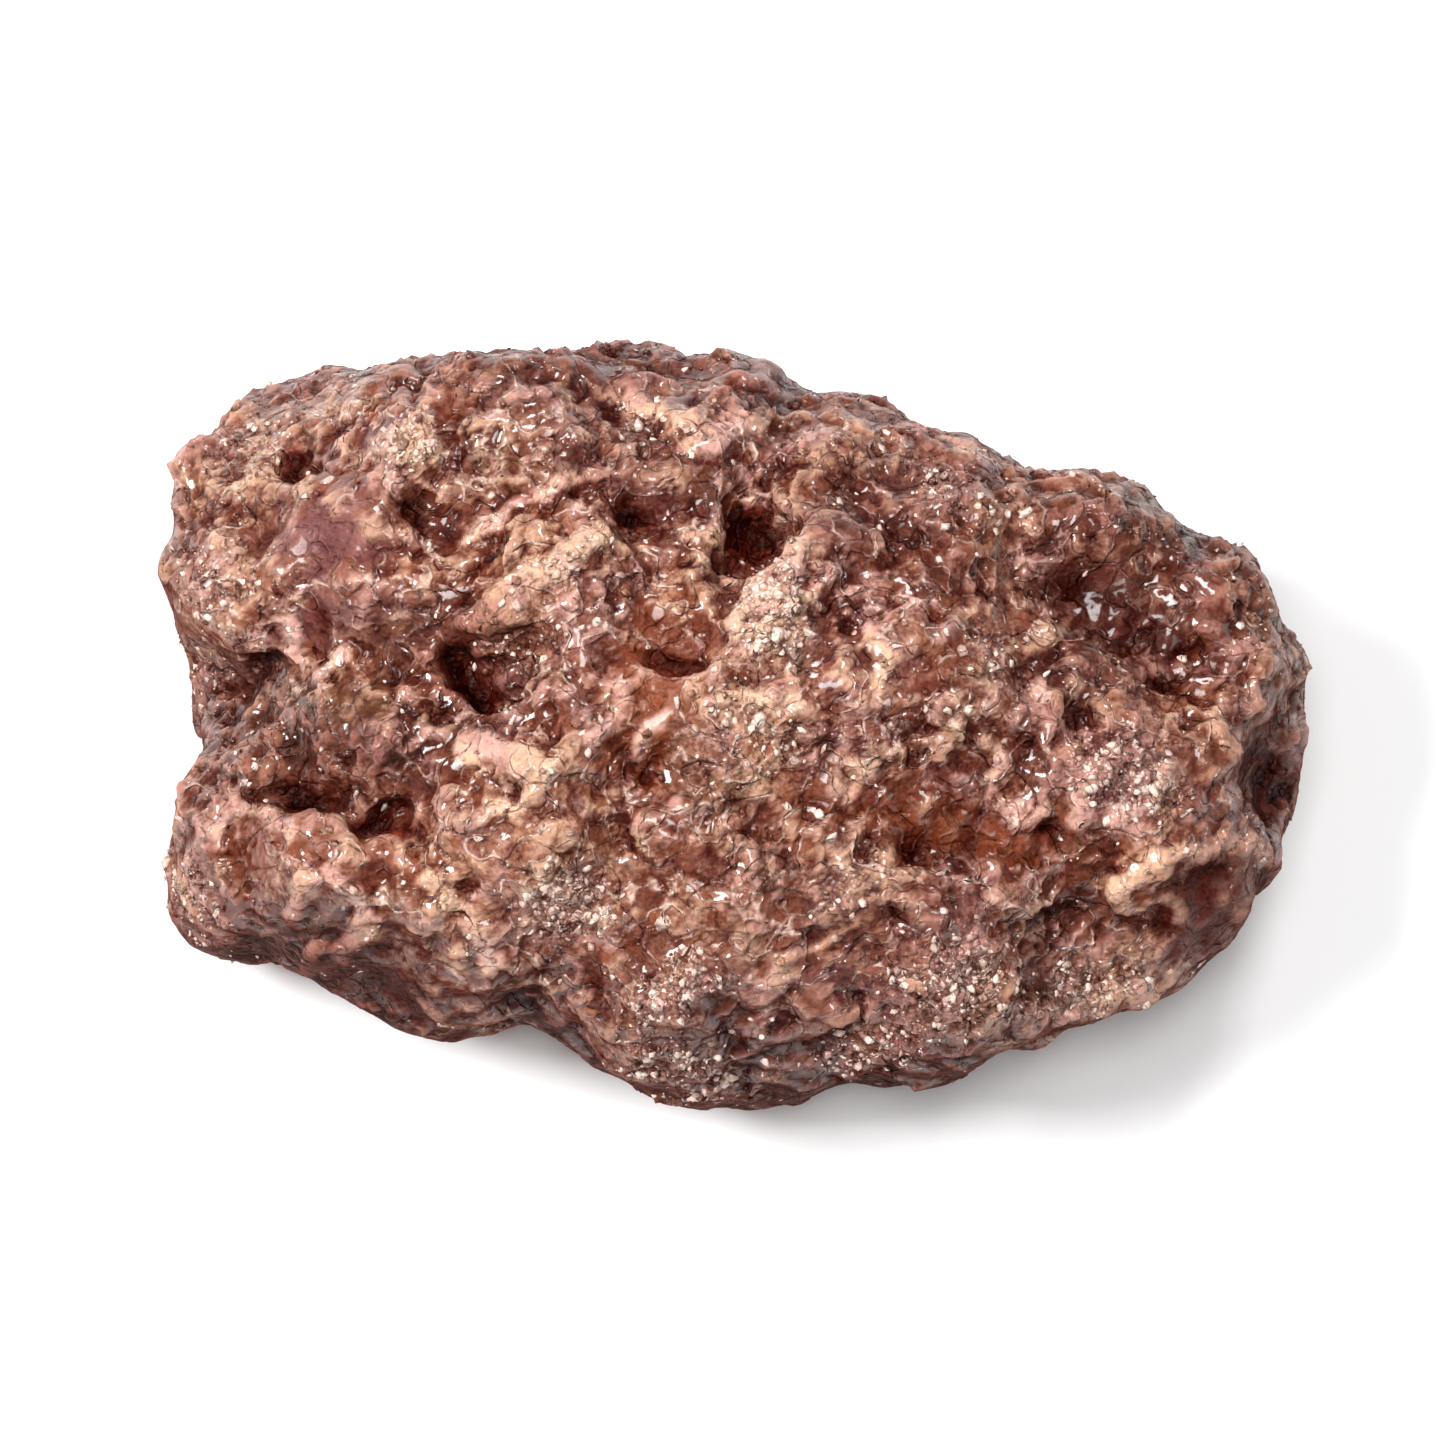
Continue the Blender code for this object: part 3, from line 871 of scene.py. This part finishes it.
def colour_mix(tree, share, first, second, way="MIX"):
    """Mixes two colours, each a colour or a socket."""
    node = tree.nodes.new("ShaderNodeMix")
    node.data_type = "RGBA"
    node.blend_type = way
    sockets = [socket for socket in node.inputs if socket.type == "RGBA"]
    factor = [socket for socket in node.inputs if socket.type == "VALUE"][0]
    for socket, value in ((factor, share), (sockets[0], first), (sockets[1], second)):
        if isinstance(value, (int, float, tuple)):
            socket.default_value = value
        else:
            tree.links.new(value, socket)
    return [socket for socket in node.outputs if socket.type == "RGBA"][0]


def bumped(tree, height, distance, strength, under=None):
    node = tree.nodes.new("ShaderNodeBump")
    node.inputs["Distance"].default_value = distance * MM
    node.inputs["Strength"].default_value = strength
    tree.links.new(height, node.inputs["Height"])
    if under is not None:
        tree.links.new(under, node.inputs["Normal"])
    return node.outputs["Normal"]


RED_BROWN = srgb(93, 33, 20)
TAN = srgb(147, 87, 61)
PLUM = srgb(78, 24, 19)
DEEP_RED = srgb(76, 17, 10)
AMBER = srgb(140, 68, 32)
MAUVE = srgb(132, 86, 86)
OLIVE = srgb(92, 66, 38)
OXBLOOD = srgb(84, 19, 13)
CREAM = srgb(234, 193, 163)
ROSE = srgb(224, 176, 163)
PALE_SUGAR = srgb(245, 215, 200)
# Multiplier of the painted shade in the broad hollows, the cracks and the thin crack lines
PAINTED_CREASE_SHADE = (0.4, 0.12, 0.07, 1.0)
# Multiplier of the painted shade in the holes
PAINTED_HOLE_SHADE = (0.33, 0.1, 0.07, 1.0)
# Multiplier of the painted shade in the dark patches
PAINTED_PATCH_SHADE = (0.4, 0.19, 0.17, 1.0)
# Multiplier of the painted shade on the steep sides and the low parts
PAINTED_SIDE_SHADE = (0.4, 0.16, 0.12, 1.0)
GLOSS_TINT = (1.0, 0.76, 0.65, 1.0)


def crust_paint(tree, place, folds, cracks):
    """The colour of the crust: a speckled brown and its zones; painted light on its raised parts and fold
    lines; pale edges and crests, partly worn and pale sugar and partly painted highlight; painted shade in
    its hollows, cracks and holes, in dark patches and on its steep and low sides.
    """
    broad = noise_pattern(tree, place, *BROAD_NOISE)
    medium = noise_pattern(tree, place, *MEDIUM_NOISE)
    fine = noise_pattern(tree, place, *FINE_NOISE)
    blend = maths(tree, "ADD", maths(tree, "MULTIPLY", medium, 0.75), maths(tree, "MULTIPLY", fine, 0.25))
    colour = colour_mix(tree, ranged(tree, blend, 0.36, 0.68), RED_BROWN, TAN)
    colour = colour_mix(tree, ranged(tree, broad, 0.48, 0.66, 0.0, 0.75), colour, PLUM)
    for name, shade, most in (
        ("amber", AMBER, 0.7),
        ("red", OXBLOOD, 0.8),
        ("mauve", MAUVE, 0.85),
        ("olive", OLIVE, 0.85),
    ):
        share = maths(tree, "MULTIPLY", stored(tree, name), ranged(tree, medium, 0.3, 0.6, 0.55, most))
        colour = colour_mix(tree, share, colour, shade)
    speckle = ranged(tree, fine, 0.45, 0.62, 0.1, 0.85)
    uneven = uneven_place(tree, place, FACET_WARP_SIZE, FACET_WARP_REACH)
    flake = ranged(tree, facets(tree, uneven, FLAKE_SIZE)[1], 0.6, 0.68)
    chip = ranged(tree, facets(tree, uneven, CHIP_SIZE)[1], 0.6, 0.68)
    colour = colour_mix(tree, ranged(tree, stored(tree, "tone"), 0.56, 0.8, 0.0, 0.6), colour, TAN)
    colour = colour_mix(tree, ranged(tree, stored(tree, "tone"), 0.2, 0.45, 0.65, 0.0), colour, DEEP_RED)
    light = colour_mix(tree, ranged(tree, broad, 0.42, 0.58), CREAM, ROSE)
    colour = colour_mix(tree, maths(tree, "MULTIPLY", stored(tree, "pale"), speckle), colour, light)
    # The named crests painted pale: partly pale sugar, partly a painted highlight along them
    ridge = maths(tree, "MULTIPLY", stored(tree, "crest"), ranged(tree, medium, 0.3, 0.52, 0.35, 0.95))
    colour = colour_mix(tree, ridge, colour, light)
    open_crust = maths(tree, "SUBTRACT", 1.0, stored(tree, "smooth"))
    loose = maths(tree, "MULTIPLY", open_crust, ranged(tree, medium, 0.45, 0.62))
    # Flakes and chips take a lighter tone of their own; the fold lines painted pale are a painted highlight
    # along the folds
    for pattern, most, shade in ((flake, 0.35, light), (chip, 0.35, light), (folds, 0.85, PALE_SUGAR)):
        share = maths(tree, "MULTIPLY", maths(tree, "MULTIPLY", pattern, most), loose)
        colour = colour_mix(tree, share, colour, shade)
    # Painted shade in the thin crack lines
    split = maths(tree, "MULTIPLY", cracks, ranged(tree, medium, 0.6, 0.4, 0.0, 0.9))
    colour = colour_mix(tree, maths(tree, "MULTIPLY", split, open_crust), colour, PAINTED_CREASE_SHADE, "MULTIPLY")
    # Painted light and shade over the relief: the raised parts lighter, the edges pale as worn sugar and
    # painted highlight, and painted shade in the hollows, cracks and holes, in the dark patches, and on the
    # steep sides and low parts
    for name, shade, most, way in (
        ("raised", TAN, 0.3, "MIX"),
        ("edge", light, 0.55, "MIX"),
        ("sunken", PAINTED_CREASE_SHADE, 0.6, "MULTIPLY"),
        ("crack", PAINTED_CREASE_SHADE, 0.75, "MULTIPLY"),
        ("hole", PAINTED_HOLE_SHADE, 1.0, "MULTIPLY"),
        ("patch_shade", PAINTED_PATCH_SHADE, 1.0, "MULTIPLY"),
        ("side", PAINTED_SIDE_SHADE, 0.5, "MULTIPLY"),
        ("low", PAINTED_SIDE_SHADE, 0.7, "MULTIPLY"),
    ):
        colour = colour_mix(tree, maths(tree, "MULTIPLY", stored(tree, name), most), colour, shade, way)
    return colour, medium, fine


def crust_material(name, lightest=None, most=0.7, glow=GLOW):
    """Glazed crust; pieces of it stuck on top are each a little darker or lighter."""
    material, tree, shader = new_material(name)
    place = millimetres(tree)
    folds = lines(tree, place, *FOLD_LINES)
    cracks = lines(tree, place, *CRACK_LINES)
    colour, medium, fine = crust_paint(tree, place, folds, cracks)
    if lightest:
        tint = stored(tree, "tint")
        colour = colour_mix(tree, ranged(tree, tint, 0.4, 1.0, 0.0, most), colour, lightest)
        colour = colour_mix(tree, ranged(tree, tint, 0.0, 0.4, 0.55, 0.0), colour, PLUM)
    tree.links.new(colour, shader.inputs["Base Color"])
    gloss = ranged(tree, medium, 0.35, 0.65, *ROUGHNESSES)
    wet = maths(tree, "MULTIPLY", stored(tree, "smooth"), SMOOTH_POLISH)
    dull = maths(tree, "ADD", gloss, maths(tree, "MULTIPLY", stored(tree, "side"), SIDE_DULLNESS))
    tree.links.new(maths(tree, "SUBTRACT", dull, wet), shader.inputs["Roughness"])
    uneven = uneven_place(tree, place, FACET_WARP_SIZE, FACET_WARP_REACH)
    folded = bumped(tree, maths(tree, "SUBTRACT", folds, cracks), *LINE_BUMP)
    flat = maths(tree, "ADD", facets(tree, uneven, FLAKE_SIZE)[0], facets(tree, uneven, CHIP_SIZE)[0])
    grain = bumped(tree, flat, *FACET_BUMP, folded)
    cells = cell_pattern(tree, place, CELL_SIZE).outputs["Distance"]
    grain = bumped(tree, cells, *CELL_BUMP, grain)
    tree.links.new(bumped(tree, fine, *FINE_BUMP, grain), shader.inputs["Normal"])
    dry_cracks = maths(tree, "MULTIPLY", stored(tree, "crack"), DRY_CRACKS)
    dry = maths(tree, "ADD", stored(tree, "hole"), dry_cracks)
    dry = maths(tree, "ADD", dry, stored(tree, "side"))
    dry = maths(tree, "ADD", dry, maths(tree, "MULTIPLY", stored(tree, "smooth"), DRY_SMOOTH))
    tree.links.new(ranged(tree, dry, 0.0, DRY_ENOUGH, COAT, 0.0), shader.inputs["Coat Weight"])
    tree.links.new(folded, shader.inputs["Coat Normal"])
    shader.inputs["Coat Roughness"].default_value = COAT_ROUGHNESS
    shader.inputs["Specular IOR Level"].default_value = GLOSS
    shader.inputs["Specular Tint"].default_value = GLOSS_TINT
    shader.inputs["Subsurface Weight"].default_value = glow
    shader.inputs["Subsurface Radius"].default_value = GLOW_COLOURS
    shader.inputs["Subsurface Scale"].default_value = GLOW_REACH * MM
    return material


# Building


def build_nut():
    data = crust_shell()
    surface = read_surface(data)
    zones = zones_of(data, surface)
    paint(data, zones)
    dress(object_of(data), crust_material("crust"))
    for name in ("crack", "edge", "sunken"):
        zones[name] = zones[name] * STUCK_HOLLOWS

    draw = np.random.default_rng(SCATTER_SEED)
    lying = smooth_step(surface.points[:, 2], *STUCK_LYING)
    upper = smooth_step(surface.normals[:, 2], *STUCK_FACING)
    open_crust = (1.0 - 0.85 * zones["smooth"]) * (1.0 - 0.9 * zones["hole"])
    open_crust *= lying * (0.1 + 0.9 * upper)
    clumps = smooth_step(noise_at(surface.points, CLUMP_SIZE, CLUMP_SHIFT), *CLUMP_RANGE)

    density = open_crust * (0.2 + clumps)
    data, nearest, size = stuck_lumps(
        "crust_crumbs", draw, surface, density, CRUMB_COUNT, CRUMB_SIZES,
        ball(2), CRUMB_STRETCH, CRUMB_RISE,
    )
    paint(data, zones, nearest, size)
    dress(object_of(data), crust_material("crumbs", TAN, glow=0.0))

    density = open_crust * (0.004 + 0.02 * clumps + 1.5 * zones["pale"] ** 3 + 0.05 * zones["crest"])
    data, nearest, size = stuck_lumps(
        "sugar_grains", draw, surface, density, GRAIN_COUNT, GRAIN_SIZES,
        ball(1), GRAIN_STRETCH, GRAIN_RISE,
    )
    paint(data, zones, nearest, size)
    dress(object_of(data), crust_material("sugar", PALE_SUGAR, 1.0, glow=0.0))


def floor():
    bpy.ops.mesh.primitive_plane_add(size=FLOOR_SIDE, location=(0.0, 0.0, 0.0))
    plane = bpy.context.object
    plane.name = "floor"
    material, _, shader = new_material("floor")
    shader.inputs["Base Color"].default_value = (FLOOR_SHADE, FLOOR_SHADE, FLOOR_SHADE, 1.0)
    shader.inputs["Roughness"].default_value = 0.9
    shader.inputs["Specular IOR Level"].default_value = 0.1
    plane.data.materials.append(material)


def soft_light(name, azimuth, elevation, distance, side, power):
    """A square soft light aimed at the nut, from a direction given in degrees."""
    light = bpy.data.lights.new(name, "AREA")
    light.size = side
    light.energy = power
    lamp = bpy.data.objects.new(name, light)
    a, e = math.radians(azimuth), math.radians(elevation)
    away = Vector((math.sin(a) * math.cos(e), -math.cos(a) * math.cos(e), math.sin(e)))
    lamp.location = away * distance
    lamp.rotation_euler = away.to_track_quat("Z", "Y").to_euler()
    bpy.context.scene.collection.objects.link(lamp)


def studio():
    world = bpy.data.worlds.new("studio")
    world.use_nodes = True
    background = world.node_tree.nodes["Background"]
    background.inputs["Color"].default_value = (1.0, 1.0, 1.0, 1.0)
    background.inputs["Strength"].default_value = ROOM_LIGHT
    bpy.context.scene.world = world
    for light in LIGHTS:
        soft_light(*light)
    bpy.context.scene.view_settings.view_transform = "Standard"


def camera():
    low, high = cad_box
    centre = (low + high) / 2.0
    length = (high.x - low.x) * math.cos(math.radians(VIEW_AZIMUTH))
    a, e = math.radians(VIEW_AZIMUTH), math.radians(VIEW_ELEVATION)
    back = Vector((math.sin(a) * math.cos(e), -math.cos(a) * math.cos(e), math.sin(e)))
    data = bpy.data.cameras.new("camera")
    data.lens = LENS
    data.sensor_width = SENSOR
    data.clip_start = 0.01
    eye = bpy.data.objects.new("camera", data)
    eye.location = centre + back * (length / NUT_SHARE) * LENS / SENSOR
    eye.rotation_mode = "QUATERNION"
    eye.rotation_quaternion = (-back).to_track_quat("-Z", "Y")
    bpy.context.scene.collection.objects.link(eye)
    bpy.context.scene.camera = eye


camera()
floor()
studio()
build_nut()
